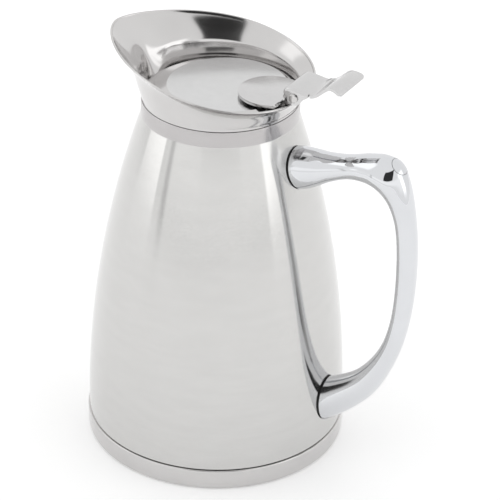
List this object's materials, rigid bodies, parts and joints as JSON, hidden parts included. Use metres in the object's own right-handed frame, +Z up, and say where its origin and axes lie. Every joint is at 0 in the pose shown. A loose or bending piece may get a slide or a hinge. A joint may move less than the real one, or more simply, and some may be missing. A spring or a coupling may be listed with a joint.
{
  "type": "insulated milk server",
  "caption": "Double-walled steel jug for hot or cold milk, with a flared pouring collar, a hinged lid worked by a thumb lever and a cast side handle.",
  "frame": {"origin": "centre of the base cap's underside, on the surface that the jug stands on", "axes": "+Z up along the body's axis, +X from the axis to the handle, -X to the spout, +Y along the lid's hinge pin"},
  "size_m": [0.1479, 0.1112, 0.1796],
  "materials": {
    "satin_steel": "satin",
    "polished_steel": "polished",
    "plain_steel": "as drawn",
    "chrome": "mirror",
    "black_rubber": "matt",
    "pale_foam": "matt"
  },
  "bodies": {
    "jug": {"outer_shell": "satin_steel", "inner_liner": "plain_steel", "jacket_bottom": "plain_steel", "base_cap": "polished_steel", "vacuum_seal_plug": "plain_steel", "getter": "plain_steel", "spout_collar": "polished_steel", "hinge_bracket": "polished_steel", "handle": "chrome", "handle_plug": "chrome", "handle_screw": "plain_steel", "screw_washer": "plain_steel", "upper_boss": "plain_steel", "upper_gasket": "black_rubber", "lower_boss": "plain_steel", "lower_gasket": "black_rubber"},
    "lid": {"lid_plate": "satin_steel", "lid_underpan": "plain_steel", "lid_insulation": "pale_foam", "lever_standoff": "plain_steel", "thumb_lever": "satin_steel", "hinge_pin": "polished_steel"}
  },
  "joints": [
    {"name": "lid_hinge", "type": "hinge", "parent": "jug", "child": "lid", "pos_m": [0.0387, 0, 0.1705], "axis": [0, 1, 0], "range_deg": [0, 85]}
  ]
}
